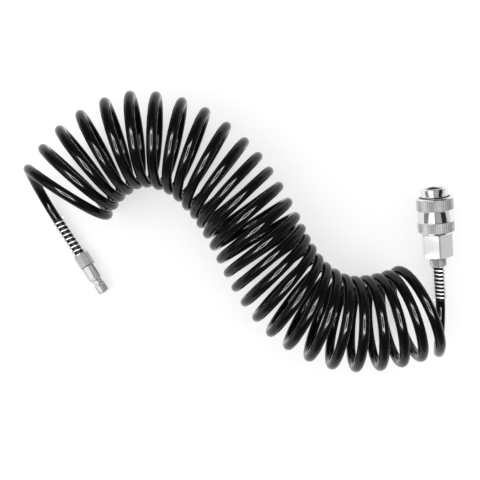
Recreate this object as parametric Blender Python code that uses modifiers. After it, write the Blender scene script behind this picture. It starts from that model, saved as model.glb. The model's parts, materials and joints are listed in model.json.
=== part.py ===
"""Coiled air hose: a polyurethane recoil hose with a quick plug on one end and a quick socket on the other.

The hose lies on its side in an S. Each end goes down to the floor, through a spring guard and a
hose nut, and onto the barb of its coupling. Metres, +Z up, origin at the middle of the underside.
"""

import math

import bmesh
import bpy
import numpy as np
from mathutils import Vector
from mathutils.geometry import interpolate_bezier

# ---------------------------------------------------------------- sizes in metres

TOUCH_GAP = 0.0003  # left between pieces that touch
MERGE_DISTANCE = 0.00001

# Hose and coil
HOSE_DIAMETER = 0.008
HOSE_BORE = 0.005
COIL_DIAMETER = 0.0716  # between tube centres
COIL_TURNS = 27.5
COIL_POINTS_PER_TURN = 16
FLAT_DEPTH = HOSE_DIAMETER / 10  # cut off where a turn stands on the floor
LEAD_POINTS = 14

# The coil's axis: x, y, and the direction in degrees in which a turn leaves it,
# at even steps of turns from the plug's end to the socket's.
COIL_STATIONS = (
    (-0.147, 0.030, 145),
    (-0.124, 0.059, 122),
    (-0.090, 0.076, 96),
    (-0.052, 0.069, 73),
    (-0.022, 0.046, 52),
    (-0.003, 0.021, 40),
    (0.013, -0.008, 35),
    (0.027, -0.034, 43),
    (0.048, -0.059, 57),
    (0.080, -0.075, 77),
    (0.116, -0.074, 97),
    (0.146, -0.064, 110),
)

# Where the hose goes into each spring guard, and the way that the coupling points
PLUG_ENTRY = (-0.168, 0.0115)
PLUG_HEADING = -56.5
PLUG_TILT = 0.0
PLUG_LEAD_SHARE = 0.08  # of a turn, which the lead takes over from the coil
PLUG_LEAD_REACH = (0.026, 0.030)  # lengths of the two tangents that shape the lead
SOCKET_ENTRY = (0.177, -0.061)
SOCKET_HEADING = 98.5
SOCKET_TILT = 12.5
SOCKET_LEAD_SHARE = 0.10
SOCKET_LEAD_REACH = (0.046, 0.026)

# Barb, threaded stub and hose nut, on both couplings
STUB_DIAMETER = 0.0110
STUB_LENGTH = 0.0040
BARB_LENGTH = 0.0110
BARB_BORE = 0.0028
BARB_RIDGES = 3
BARB_RIDGE_HEIGHT = 0.0003
BARB_RISE = 0.3  # share of each ridge that rises
NUT_CHAMFER = 0.0005
GUARD_SEAT_DEPTH = 0.0018
GUARD_SEAT_SLACK = 0.0002

# Spring guards
GUARD_WIRE = 0.0015
GUARD_SLACK = 0.0006  # between the hose and the wire
GUARD_POINTS_PER_CURL = 8
PLUG_GUARD_CURLS = 9
PLUG_GUARD_PITCH = 0.0042
SOCKET_GUARD_CURLS = 9
SOCKET_GUARD_PITCH = 0.0036

# Plug
PLUG_NOSE_DIAMETER = 0.0120
PLUG_NOSE_LENGTH = 0.0078
PLUG_NOSE_CHAMFER = 0.0008
PLUG_COLLAR_DIAMETER = 0.0128
PLUG_COLLAR_LENGTH = 0.0015
PLUG_GROOVE_DIAMETER = 0.0104
PLUG_GROOVE_LENGTH = 0.0042
PLUG_GROOVE_SLOPE = 0.0004
PLUG_STEP_SLOPE = 0.00025
PLUG_RING_DIAMETER = 0.0130
PLUG_RING_LENGTH = 0.0015
PLUG_BODY_DIAMETER = 0.0142
PLUG_BODY_LENGTH = 0.0126
PLUG_BORE = 0.0074
PLUG_BORE_DEPTH = 0.0200
PLUG_NUT_DIAMETER = 0.0135
PLUG_NUT_LENGTH = 0.0123

# Socket: cage with its balls
NOSE_DIAMETER = 0.0222
NOSE_LENGTH = 0.0096
NOSE_CHAMFER = 0.0007
NOSE_LIP = 0.0013  # radial step down to the neck
CAGE_NECK_LENGTH = 0.0164
CAGE_STUB_STEP = 0.0009  # radial step down to the threaded stub
CAGE_STUB_WALL = 0.0015
CAGE_STUB_LENGTH = 0.0080
BORE_SLACK = 0.0004  # between the plug's nose and the bore, on the diameter
MOUTH_FLARE = 0.0020  # radial
MOUTH_DEPTH = 0.0020
PACKING_GROOVE_DEPTH = 0.0018
PACKING_START = 0.0160
PACKING_LENGTH = 0.0028
PACKING_SLACK = 0.0001  # round the plug's nose, on the diameter
SEAT_LIP_START = 0.0208
SEAT_LIP_LENGTH = 0.0018
BALL_COUNT = 6
BALL_SLACK = 0.0002  # between a locked ball and the floor of the plug's groove
BALL_PLACE = 0.0126  # from the mouth

# Socket: sleeve, its spring and its ring
SLEEVE_WALL = 0.0026  # outside the snap ring
SLEEVE_START = 0.0076
SLEEVE_LENGTH = 0.0314
SLEEVE_TRAVEL = 0.0040  # the pocket leaves room for it in front of the hexagon
SLEEVE_STOP_GAP = 0.0007
SLEEVE_RIM_BEVEL = 0.0007
WAIST_DEPTH = 0.0005
WAIST_START = 0.0188
WAIST_LENGTH = 0.0092
REAR_BEVEL_DEPTH = 0.0008
REAR_BEVEL_LENGTH = 0.0016
RECESS_LENGTH = 0.0014
RELEASE_SLACK = 0.0004  # between the cage's nose and the sleeve
LAND_LENGTH = 0.0045
SKIRT_WALL = 0.00065
POCKET_STEP = 0.0009
RING_THICKNESS = 0.0007
RING_WIDTH = 0.0015
RING_GROOVE_DEPTH = 0.0006
SLEEVE_SPRING_WIRE = 0.0011
SLEEVE_SPRING_CURLS = 4

# Socket: hex body and valve
HEX_ACROSS_FLATS = 0.0240
HEX_CORNER_SLACK = 0.00025  # between the turned corners and the sleeve's skirt
HEX_LENGTH = 0.0210
HEX_CHAMFER = 0.0009
HEX_CHAMFER_DEPTH = 0.0014
HEX_TURN = 16.5  # degrees from level to the first corner, so that a corner is near the top
BODY_FRONT_WALL = 0.0011
BODY_SHOULDER_LENGTH = 0.0060
GASKET_THICKNESS = 0.0010
SPRING_SEAT_THICKNESS = 0.0012
SPRING_SEAT_HOLE = 0.0044
SPRING_SEAT_STEP = 0.0380
BODY_BORE = 0.0100
BODY_BORE_END = 0.0450
POPPET_START = 0.0186
POPPET_FLOW_GAP = 0.0008  # between the head and the cage
POPPET_SEAL_WIDTH = 0.0014  # by which the head is wider than its seat, and the seat than the stem
POPPET_HEAD_LENGTH = 0.0025
POPPET_TAIL_DIAMETER = 0.0040
POPPET_TAIL_LENGTH = 0.0045
SEAL_THICKNESS = 0.0007
VALVE_SPRING_WIRE = 0.0009
VALVE_SPRING_SLACK = 0.0008  # inside the head's edge
VALVE_SPRING_CURLS = 4
SPRING_POINTS_PER_CURL = 8
SOCKET_NUT_DIAMETER = 0.0139
SOCKET_NUT_LENGTH = 0.0090

TURNED_STEPS = 28
SMALL_STEPS = 22
SLEEVE_STEPS = 32
HEX_STEPS = 36
HOLE_STEPS = 12

# ---------------------------------------------------------------- places worked out from them

HOSE_RADIUS = HOSE_DIAMETER / 2
COIL_HEIGHT = COIL_DIAMETER / 2 + HOSE_RADIUS - FLAT_DEPTH
FIRST_TURN = PLUG_LEAD_SHARE
LAST_TURN = COIL_TURNS - SOCKET_LEAD_SHARE
GUARD_RADIUS = HOSE_RADIUS + GUARD_SLACK + GUARD_WIRE / 2  # to the wire's centre
GUARD_OUTER_RADIUS = GUARD_RADIUS + GUARD_WIRE / 2
PLUG_SHOULDER = (
    PLUG_NOSE_LENGTH + PLUG_COLLAR_LENGTH + PLUG_GROOVE_LENGTH + PLUG_RING_LENGTH + PLUG_BODY_LENGTH
)
HEX_START = SLEEVE_START + SLEEVE_LENGTH
SOCKET_SHOULDER = HEX_START + HEX_LENGTH


# ---------------------------------------------------------------- scene, materials, helpers


def clear_scene():
    for item in list(bpy.data.objects):
        bpy.data.objects.remove(item, do_unlink=True)
    for group in list(bpy.data.collections):
        bpy.data.collections.remove(group)


def new_collection(name):
    group = bpy.data.collections.new(name)
    bpy.context.scene.collection.children.link(group)
    return group


clear_scene()
PARTS = new_collection("coiled_air_hose")
CUTTERS = new_collection("cutters")


def make_material(name, colour, roughness, metallic=0.0):
    material = bpy.data.materials.new(name)
    material.use_nodes = True
    shader = material.node_tree.nodes["Principled BSDF"]
    shader.inputs["Base Color"].default_value = (*colour, 1.0)
    shader.inputs["Roughness"].default_value = roughness
    shader.inputs["Metallic"].default_value = metallic
    material.diffuse_color = (*colour, 1.0)
    return material


HOSE_BLACK = make_material("hose_black", (0.010, 0.010, 0.012), 0.18)
POLISHED = make_material("polished_nickel", (0.80, 0.80, 0.82), 0.12, 1.0)
KNURLED = make_material("knurled_nickel", (0.66, 0.66, 0.68), 0.35, 1.0)
SPRING_STEEL = make_material("spring_steel", (0.74, 0.74, 0.76), 0.20, 1.0)
BEARING_STEEL = make_material("bearing_steel", (0.62, 0.63, 0.65), 0.10, 1.0)
BRASS = make_material("brass", (0.72, 0.52, 0.22), 0.28, 1.0)
SEAL_RUBBER = make_material("seal_rubber", (0.020, 0.020, 0.020), 0.60)


def add_object(name, data, material, parent=None, group=PARTS):
    item = bpy.data.objects.new(name, data)
    group.objects.link(item)
    if material is not None:
        data.materials.append(material)
    item.parent = parent
    return item


def shade_smooth(mesh, sharp_degrees):
    mesh.shade_smooth()
    mesh.set_sharp_from_angle(angle=math.radians(sharp_degrees))


def turned(name, outline, material, parent=None, steps=TURNED_STEPS, closed=True, group=PARTS):
    """A turned piece. The outline's points are (distance from the mouth, radius), first along
    the outer side and away from the mouth, then back along the bore. An outline that isn't
    closed starts and ends on the axis."""
    mesh = bpy.data.meshes.new(name)
    points = [(radius, 0.0, -distance) for distance, radius in outline]
    edges = [(i, i + 1) for i in range(len(points) - 1)]
    if closed:
        edges.append((len(points) - 1, 0))
    mesh.from_pydata(points, edges, [])
    item = add_object(name, mesh, material, parent, group)
    screw = item.modifiers.new("turn", "SCREW")
    screw.axis = "Z"
    screw.steps = steps
    screw.render_steps = steps
    screw.use_merge_vertices = True
    screw.merge_threshold = MERGE_DISTANCE
    screw.use_smooth_shade = True
    return item


def mesh_of_curve(name, curve):
    """A curve's surface as a closed mesh with its caps welded."""
    guide = add_object(name + "_curve", curve, None, None, CUTTERS)
    bpy.context.view_layer.update()
    evaluated = guide.evaluated_get(bpy.context.evaluated_depsgraph_get())
    mesh = bpy.data.meshes.new_from_object(evaluated)
    bpy.data.objects.remove(guide)
    shape = bmesh.new()
    shape.from_mesh(mesh)
    bmesh.ops.remove_doubles(shape, verts=shape.verts, dist=MERGE_DISTANCE)
    bmesh.ops.recalc_face_normals(shape, faces=shape.faces)
    shape.to_mesh(mesh)
    shape.free()
    mesh.materials.clear()
    mesh.name = name
    return mesh


def tube(name, points, radius, material, parent=None):
    """A round tube along points."""
    curve = bpy.data.curves.new(name, "CURVE")
    curve.dimensions = "3D"
    curve.bevel_depth = radius
    curve.bevel_resolution = 1
    curve.use_fill_caps = True
    spline = curve.splines.new("POLY")
    spline.points.add(len(points) - 1)
    for place, point in zip(spline.points, points):
        place.co = (*point, 1.0)
    mesh = mesh_of_curve(name, curve)
    shade_smooth(mesh, 70)
    return add_object(name, mesh, material, parent)


def hide_cutter(item):
    item.hide_render = True
    item.display_type = "WIRE"
    return item


def round_cutter(name, radius, start, end, parent):
    """A cylinder from one distance from the mouth to another, on the parent's axis."""
    mesh = bpy.data.meshes.new(name)
    shape = bmesh.new()
    bmesh.ops.create_cone(
        shape, cap_ends=True, segments=HOLE_STEPS, radius1=radius, radius2=radius, depth=end - start
    )
    bmesh.ops.translate(shape, verts=shape.verts, vec=(0, 0, -(start + end) / 2))
    shape.to_mesh(mesh)
    shape.free()
    return hide_cutter(add_object(name, mesh, None, parent, CUTTERS))


def cut(item, cutter):
    boolean = item.modifiers.new("cut_" + cutter.name, "BOOLEAN")
    boolean.operation = "DIFFERENCE"
    boolean.solver = "EXACT"
    boolean.object = cutter


def axis_empty(name, entry, height, heading, tilt, length):
    """An empty at a coupling's mouth: +Z points out of the mouth, +Y up, and the hose comes in
    at the entry, a length behind it."""
    turn = math.radians(heading)
    rise = math.radians(tilt)
    direction = Vector(
        (math.cos(rise) * math.cos(turn), math.cos(rise) * math.sin(turn), math.sin(rise))
    )
    empty = bpy.data.objects.new(name, None)
    PARTS.objects.link(empty)
    empty.rotation_mode = "QUATERNION"
    empty.rotation_quaternion = direction.to_track_quat("Z", "Y")
    empty.location = Vector((*entry, height)) + direction * length
    bpy.context.view_layer.update()
    return empty


def along(empty, distance):
    """The point on a coupling's axis at a distance behind its mouth."""
    return empty.matrix_world @ Vector((0, 0, -distance))


# ---------------------------------------------------------------- the hose's route


def station_slopes(stations):
    slopes = [(b - a) / 2 for a, b in zip(stations, stations[2:])]
    first = (stations[1] - stations[0]) * 1.5 - slopes[0] / 2
    last = (stations[-1] - stations[-2]) * 1.5 - slopes[-1] / 2
    return [first, *slopes, last]


STATIONS = [Vector(station) for station in COIL_STATIONS]
SLOPES = station_slopes(STATIONS)


def coil_axis(turn):
    """x, y and leaving direction of the coil's axis, smooth through the stations."""
    place = turn / COIL_TURNS * (len(STATIONS) - 1)
    i = min(max(int(place), 0), len(STATIONS) - 2)
    u = place - i
    return (
        STATIONS[i] * (2 * u**3 - 3 * u**2 + 1)
        + SLOPES[i] * (u**3 - 2 * u**2 + u)
        + STATIONS[i + 1] * (3 * u**2 - 2 * u**3)
        + SLOPES[i + 1] * (u**3 - u**2)
    )


def coil_point(turn):
    x, y, leaving = coil_axis(turn)
    across = COIL_DIAMETER / 2 * math.cos(2 * math.pi * turn)
    rise = COIL_DIAMETER / 2 * math.sin(2 * math.pi * turn)
    angle = math.radians(leaving)
    return Vector((x + across * math.cos(angle), y + across * math.sin(angle), COIL_HEIGHT + rise))


def coil_direction(turn):
    step = 0.001
    return (coil_point(turn + step) - coil_point(turn - step)).normalized()


def lead(start, start_direction, end, end_direction, reach):
    """A hose's free stretch between a coil's end and a spring guard."""
    return interpolate_bezier(
        start, start + start_direction * reach[0], end - end_direction * reach[1], end, LEAD_POINTS
    )


def straight(start, end, count=4):
    return [start.lerp(end, i / (count - 1)) for i in range(count)]


def hose_route(plug_axis, socket_axis, plug_length, socket_length):
    """The hose's centre line, from its end on the plug's barb to its end on the socket's."""
    plug_end = along(plug_axis, PLUG_SHOULDER + STUB_LENGTH + TOUCH_GAP)
    plug_mouth = along(plug_axis, plug_length)
    plug_way = (plug_mouth - plug_end).normalized()
    socket_end = along(socket_axis, SOCKET_SHOULDER + STUB_LENGTH + TOUCH_GAP)
    socket_mouth = along(socket_axis, socket_length)
    socket_way = (socket_end - socket_mouth).normalized()
    count = round((LAST_TURN - FIRST_TURN) * COIL_POINTS_PER_TURN)
    turn_step = (LAST_TURN - FIRST_TURN) / count
    coil = [coil_point(FIRST_TURN + turn_step * i) for i in range(count + 1)]
    first_lead = lead(
        plug_mouth, plug_way, coil[0], coil_direction(FIRST_TURN), PLUG_LEAD_REACH
    )
    last_lead = lead(
        coil[-1], coil_direction(LAST_TURN), socket_mouth, socket_way, SOCKET_LEAD_REACH
    )
    return [
        *straight(plug_end, plug_mouth)[:-1],
        *first_lead[:-1],
        *coil[:-1],
        *last_lead[:-1],
        *straight(socket_mouth, socket_end),
    ]


def print_gap(name, points, diameter, reach):
    """Prints a tube's length, and the least clear gap between stretches of it that are more
    than a reach apart along it."""
    shares = (0, 0.25, 0.5, 0.75)
    spots = np.array([a.lerp(b, share) for a, b in zip(points, points[1:]) for share in shares])
    steps = np.linalg.norm(np.diff(spots, axis=0), axis=1)
    run = np.concatenate([[0], np.cumsum(steps)])
    least = math.inf
    for i, spot in enumerate(spots):
        far = np.abs(run - run[i]) > reach
        least = min(least, float(np.linalg.norm(spots[far] - spot, axis=1).min()))
    gap = (least - diameter) * 1000
    print(f"{name}: {run[-1]:.3f} m long, least gap to itself {gap:.2f} mm")


def coil_wire(radius, start, end, curls, points_per_curl):
    """Points of a spring's wire on the Z axis, from one distance from the mouth to another."""
    count = round(curls * points_per_curl)
    points = []
    for i in range(count + 1):
        angle = 2 * math.pi * curls * i / count
        z = -(start + (end - start) * i / count)
        points.append(Vector((radius * math.cos(angle), radius * math.sin(angle), z)))
    return points


# ---------------------------------------------------------------- pieces of both couplings


def barb_outline(shoulder):
    """Stub, barb and its bore, from the shoulder that the hose nut stops at."""
    barb_radius = HOSE_BORE / 2 - TOUCH_GAP
    barb_start = shoulder + STUB_LENGTH
    ridge = BARB_LENGTH / BARB_RIDGES
    outline = [(shoulder, STUB_DIAMETER / 2), (barb_start, STUB_DIAMETER / 2)]
    for i in range(BARB_RIDGES):
        outline.append((barb_start + i * ridge, barb_radius - (BARB_RIDGE_HEIGHT if i == 0 else 0)))
        outline.append((barb_start + (i + BARB_RISE) * ridge, barb_radius))
        outline.append((barb_start + (i + 1) * ridge, barb_radius - BARB_RIDGE_HEIGHT))
    outline.append((barb_start + BARB_LENGTH, BARB_BORE / 2))
    return outline


def hose_nut(name, diameter, length, shoulder, parent):
    start = shoulder + TOUCH_GAP
    end = start + length
    seat = end - GUARD_SEAT_DEPTH
    thread_end = shoulder + STUB_LENGTH + TOUCH_GAP
    thread_radius = STUB_DIAMETER / 2 + TOUCH_GAP
    pass_radius = HOSE_RADIUS + TOUCH_GAP
    seat_radius = GUARD_OUTER_RADIUS + GUARD_SEAT_SLACK
    outline = [
        (start, diameter / 2 - NUT_CHAMFER),
        (start + NUT_CHAMFER, diameter / 2),
        (end - NUT_CHAMFER, diameter / 2),
        (end, diameter / 2 - NUT_CHAMFER / 2),
        (end, seat_radius),
        (seat, seat_radius),
        (seat, pass_radius),
        (thread_end, pass_radius),
        (thread_end, thread_radius),
        (start, thread_radius),
    ]
    return turned(name, outline, KNURLED, parent, SMALL_STEPS)


def guard_start(shoulder, nut_length):
    """Distance from the mouth at which a guard's wire starts, clear of its seat in the nut."""
    return shoulder + TOUCH_GAP + nut_length - GUARD_SEAT_DEPTH + TOUCH_GAP


def guard_end(shoulder, nut_length, curls, pitch):
    """Distance from the mouth at which the hose comes out of its guard."""
    return guard_start(shoulder, nut_length) + curls * pitch + GUARD_WIRE + TOUCH_GAP


def spring_guard(name, shoulder, nut_length, curls, pitch, parent):
    start = guard_start(shoulder, nut_length) + GUARD_WIRE / 2
    wire = coil_wire(GUARD_RADIUS, start, start + curls * pitch, curls, GUARD_POINTS_PER_CURL)
    print_gap(name, wire, GUARD_WIRE, GUARD_RADIUS * 3)
    return tube(name, wire, GUARD_WIRE / 2, SPRING_STEEL, parent)


# ---------------------------------------------------------------- the plug


def plug_body(parent):
    nose = PLUG_NOSE_DIAMETER / 2
    collar = PLUG_COLLAR_DIAMETER / 2
    groove = PLUG_GROOVE_DIAMETER / 2
    ring = PLUG_RING_DIAMETER / 2
    body = PLUG_BODY_DIAMETER / 2
    bore = PLUG_BORE / 2
    edge = NUT_CHAMFER
    slope = PLUG_STEP_SLOPE
    collar_start = PLUG_NOSE_LENGTH
    groove_start = collar_start + PLUG_COLLAR_LENGTH
    ring_start = groove_start + PLUG_GROOVE_LENGTH
    body_start = ring_start + PLUG_RING_LENGTH
    outline = [
        (0, nose - PLUG_NOSE_CHAMFER),
        (PLUG_NOSE_CHAMFER, nose),
        (collar_start - slope, nose),
        (collar_start, collar),
        (groove_start - slope, collar),
        (groove_start + slope, groove),
        (ring_start - PLUG_GROOVE_SLOPE, groove),
        (ring_start, ring),
        (body_start - slope, ring),
        (body_start, body),
        (PLUG_SHOULDER - edge, body),
        (PLUG_SHOULDER, body - edge),
        *barb_outline(PLUG_SHOULDER),
        (PLUG_BORE_DEPTH + bore, BARB_BORE / 2),
        (PLUG_BORE_DEPTH, bore),
        (edge, bore),
        (0, bore + edge),
    ]
    return turned("plug_body", outline, POLISHED, parent, SMALL_STEPS)


def make_plug(parent):
    plug_body(parent)
    hose_nut("plug_hose_nut", PLUG_NUT_DIAMETER, PLUG_NUT_LENGTH, PLUG_SHOULDER, parent)
    spring_guard(
        "plug_spring_guard", PLUG_SHOULDER, PLUG_NUT_LENGTH, PLUG_GUARD_CURLS, PLUG_GUARD_PITCH, parent
    )


# ---------------------------------------------------------------- the socket


# Radii, from the cage's nose inwards
NOSE_RADIUS = NOSE_DIAMETER / 2
NECK_RADIUS = NOSE_RADIUS - NOSE_LIP
CAGE_STUB_RADIUS = NECK_RADIUS - CAGE_STUB_STEP
VALVE_BORE_RADIUS = CAGE_STUB_RADIUS - CAGE_STUB_WALL
HEAD_RADIUS = VALVE_BORE_RADIUS - POPPET_FLOW_GAP
SEAT_LIP_RADIUS = HEAD_RADIUS - POPPET_SEAL_WIDTH
STEM_RADIUS = SEAT_LIP_RADIUS - POPPET_SEAL_WIDTH
PLUG_NOSE_RADIUS = PLUG_NOSE_DIAMETER / 2
BORE_RADIUS = PLUG_NOSE_RADIUS + BORE_SLACK / 2
PACKING_RADIUS = BORE_RADIUS + PACKING_GROOVE_DEPTH
BALL_RADIUS = (NECK_RADIUS - PLUG_GROOVE_DIAMETER / 2 - BALL_SLACK) / 2

# Radii, from the cage's nose outwards
LAND_RADIUS = NECK_RADIUS + TOUCH_GAP
RELEASE_RADIUS = NOSE_RADIUS + RELEASE_SLACK
RING_INNER_RADIUS = NOSE_RADIUS - RING_GROOVE_DEPTH + TOUCH_GAP
RING_OUTER_RADIUS = RING_INNER_RADIUS + RING_WIDTH
RECESS_RADIUS = RING_OUTER_RADIUS + TOUCH_GAP
SLEEVE_RADIUS = RECESS_RADIUS + SLEEVE_WALL
REAR_RIM_RADIUS = SLEEVE_RADIUS - REAR_BEVEL_DEPTH
SKIRT_RADIUS = REAR_RIM_RADIUS - SKIRT_WALL
POCKET_RADIUS = SKIRT_RADIUS - POCKET_STEP
SHOULDER_RADIUS = POCKET_RADIUS - TOUCH_GAP
BODY_FRONT_RADIUS = CAGE_STUB_RADIUS + TOUCH_GAP + BODY_FRONT_WALL
HEX_CORNER_RADIUS = SKIRT_RADIUS - HEX_CORNER_SLACK

# Distances from the mouth
RING_START = SLEEVE_START + RECESS_LENGTH - TOUCH_GAP - RING_THICKNESS
RING_END = RING_START + RING_THICKNESS
LAND_START = BALL_PLACE - TOUCH_GAP
LAND_END = LAND_START + LAND_LENGTH
POCKET_END = HEX_START - SLEEVE_STOP_GAP - SLEEVE_TRAVEL
BODY_SHOULDER_START = HEX_START - BODY_SHOULDER_LENGTH
CAGE_STUB_START = NOSE_LENGTH + CAGE_NECK_LENGTH
CAGE_END = CAGE_STUB_START + CAGE_STUB_LENGTH
PACKING_END = PACKING_START + PACKING_LENGTH + 2 * TOUCH_GAP
SEAT_LIP_END = SEAT_LIP_START + SEAT_LIP_LENGTH
HEAD_START = SEAT_LIP_END + SEAL_THICKNESS + 2 * TOUCH_GAP
HEAD_END = HEAD_START + POPPET_HEAD_LENGTH
SPRING_SEAT_START = SPRING_SEAT_STEP - TOUCH_GAP - SPRING_SEAT_THICKNESS


def socket_cage(parent):
    ring_groove = NOSE_RADIUS - RING_GROOVE_DEPTH
    outline = [
        (0, NOSE_RADIUS - NOSE_CHAMFER),
        (NOSE_CHAMFER, NOSE_RADIUS),
        (RING_START - TOUCH_GAP, NOSE_RADIUS),
        (RING_START - TOUCH_GAP, ring_groove),
        (RING_END + TOUCH_GAP, ring_groove),
        (RING_END + TOUCH_GAP, NOSE_RADIUS),
        (NOSE_LENGTH, NOSE_RADIUS),
        (NOSE_LENGTH + TOUCH_GAP, NECK_RADIUS),
        (CAGE_STUB_START, NECK_RADIUS),
        (CAGE_STUB_START, CAGE_STUB_RADIUS),
        (CAGE_END, CAGE_STUB_RADIUS),
        (CAGE_END, VALVE_BORE_RADIUS),
        (SEAT_LIP_END, VALVE_BORE_RADIUS),
        (SEAT_LIP_END, SEAT_LIP_RADIUS),
        (SEAT_LIP_START, SEAT_LIP_RADIUS),
        (SEAT_LIP_START, BORE_RADIUS),
        (PACKING_END, BORE_RADIUS),
        (PACKING_END, PACKING_RADIUS),
        (PACKING_START, PACKING_RADIUS),
        (PACKING_START, BORE_RADIUS),
        (MOUTH_DEPTH, BORE_RADIUS),
        (0, BORE_RADIUS + MOUTH_FLARE),
    ]
    cage = turned("socket_cage", outline, POLISHED, parent)
    for i in range(BALL_COUNT):
        cut(cage, ball_window(i, parent))
    return cage


def ball_angle(i):
    """The balls stand to both sides of the top of the bore."""
    return math.pi / 2 + 2 * math.pi * (i + 0.5) / BALL_COUNT


def ball_window(i, parent):
    angle = ball_angle(i)
    inner = BORE_RADIUS - BALL_RADIUS
    outer = NECK_RADIUS + BALL_RADIUS
    window = round_cutter(f"ball_window_{i + 1}", BALL_RADIUS + TOUCH_GAP, -outer, -inner, parent)
    window.location = (0, 0, -BALL_PLACE)
    window.rotation_euler = Vector((math.cos(angle), math.sin(angle), 0)).to_track_quat("Z", "Y").to_euler()
    return window


def locking_ball(i, parent):
    angle = ball_angle(i)
    name = f"locking_ball_{i + 1}"
    mesh = bpy.data.meshes.new(name)
    shape = bmesh.new()
    bmesh.ops.create_uvsphere(shape, u_segments=12, v_segments=8, radius=BALL_RADIUS)
    shape.to_mesh(mesh)
    shape.free()
    mesh.shade_smooth()
    ball = add_object(name, mesh, BEARING_STEEL, parent)
    place = NECK_RADIUS - BALL_RADIUS
    ball.location = (place * math.cos(angle), place * math.sin(angle), -BALL_PLACE)
    return ball


def locking_sleeve(parent):
    waist = SLEEVE_RADIUS - WAIST_DEPTH
    waist_end = WAIST_START + WAIST_LENGTH
    recess_end = SLEEVE_START + RECESS_LENGTH
    ramp = RELEASE_RADIUS - LAND_RADIUS
    outline = [
        (SLEEVE_START, SLEEVE_RADIUS - SLEEVE_RIM_BEVEL),
        (SLEEVE_START + SLEEVE_RIM_BEVEL, SLEEVE_RADIUS),
        (WAIST_START - WAIST_DEPTH, SLEEVE_RADIUS),
        (WAIST_START, waist),
        (waist_end, waist),
        (waist_end + WAIST_DEPTH, SLEEVE_RADIUS),
        (HEX_START - REAR_BEVEL_LENGTH, SLEEVE_RADIUS),
        (HEX_START, REAR_RIM_RADIUS),
        (HEX_START, SKIRT_RADIUS),
        (POCKET_END, SKIRT_RADIUS),
        (POCKET_END, POCKET_RADIUS),
        (LAND_END, POCKET_RADIUS),
        (LAND_END, LAND_RADIUS),
        (LAND_START, LAND_RADIUS),
        (LAND_START - ramp, RELEASE_RADIUS),
        (recess_end, RELEASE_RADIUS),
        (recess_end, RECESS_RADIUS),
        (SLEEVE_START, RECESS_RADIUS),
    ]
    return turned("locking_sleeve", outline, KNURLED, parent, SLEEVE_STEPS)


def washer(name, start, thickness, outer, inner, material, parent, steps=SMALL_STEPS):
    end = start + thickness
    outline = [(start, outer), (end, outer), (end, inner), (start, inner)]
    return turned(name, outline, material, parent, steps)


def inner_spring(name, wire, radius, start, end, curls, parent):
    """A spring between two faces, clear of each."""
    first = start + TOUCH_GAP + wire / 2
    last = end - TOUCH_GAP - wire / 2
    points = coil_wire(radius, first, last, curls, SPRING_POINTS_PER_CURL)
    print_gap(name, points, wire, radius * 3)
    return tube(name, points, wire / 2, SPRING_STEEL, parent)


def hex_cutter(parent):
    """A ring with a hexagonal hole, which leaves the flats."""
    curve = bpy.data.curves.new("hex_outline", "CURVE")
    curve.dimensions = "2D"
    curve.fill_mode = "BOTH"
    curve.extrude = HEX_LENGTH / 2
    corner = HEX_ACROSS_FLATS / math.sqrt(3)
    for radius, sides in ((2 * corner, 12), (corner, 6)):
        spline = curve.splines.new("POLY")
        spline.points.add(sides - 1)
        for i, place in enumerate(spline.points):
            angle = 2 * math.pi * i / sides
            place.co = (radius * math.cos(angle), radius * math.sin(angle), 0, 1)
        spline.use_cyclic_u = True
    mesh = mesh_of_curve("hex_cutter", curve)
    cutter = hide_cutter(add_object("hex_cutter", mesh, None, parent, CUTTERS))
    cutter.location = (0, 0, -(HEX_START + TOUCH_GAP + HEX_LENGTH / 2))
    cutter.rotation_euler = (0, 0, math.radians(HEX_TURN))
    return cutter


def socket_body(parent):
    thread = CAGE_STUB_RADIUS + TOUCH_GAP
    gasket_end = CAGE_END + GASKET_THICKNESS + 2 * TOUCH_GAP
    seat_hole = HEAD_RADIUS + TOUCH_GAP
    bore = BODY_BORE / 2
    face = HEX_CORNER_RADIUS - HEX_CHAMFER_DEPTH
    outline = [
        (CAGE_STUB_START + TOUCH_GAP, BODY_FRONT_RADIUS),
        (BODY_SHOULDER_START, BODY_FRONT_RADIUS),
        (BODY_SHOULDER_START, SHOULDER_RADIUS),
        (HEX_START, SHOULDER_RADIUS),
        (HEX_START, face),
        (HEX_START + HEX_CHAMFER, HEX_CORNER_RADIUS),
        (SOCKET_SHOULDER - HEX_CHAMFER, HEX_CORNER_RADIUS),
        (SOCKET_SHOULDER, face),
        *barb_outline(SOCKET_SHOULDER),
        (BODY_BORE_END + bore, BARB_BORE / 2),
        (BODY_BORE_END, bore),
        (SPRING_SEAT_STEP, bore),
        (SPRING_SEAT_STEP, seat_hole),
        (gasket_end, seat_hole),
        (gasket_end, thread),
        (CAGE_STUB_START + TOUCH_GAP, thread),
    ]
    body = turned("socket_body", outline, POLISHED, parent, HEX_STEPS)
    cut(body, hex_cutter(parent))
    return body


def valve_poppet(parent):
    tail = POPPET_TAIL_DIAMETER / 2
    tail_end = HEAD_END + POPPET_TAIL_LENGTH
    outline = [
        (POPPET_START, 0),
        (POPPET_START, STEM_RADIUS - NUT_CHAMFER),
        (POPPET_START + NUT_CHAMFER, STEM_RADIUS),
        (HEAD_START, STEM_RADIUS),
        (HEAD_START, HEAD_RADIUS),
        (HEAD_END, HEAD_RADIUS),
        (HEAD_END, tail),
        (tail_end, tail),
        (tail_end, 0),
    ]
    return turned("valve_poppet", outline, BRASS, parent, SMALL_STEPS, closed=False)


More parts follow.
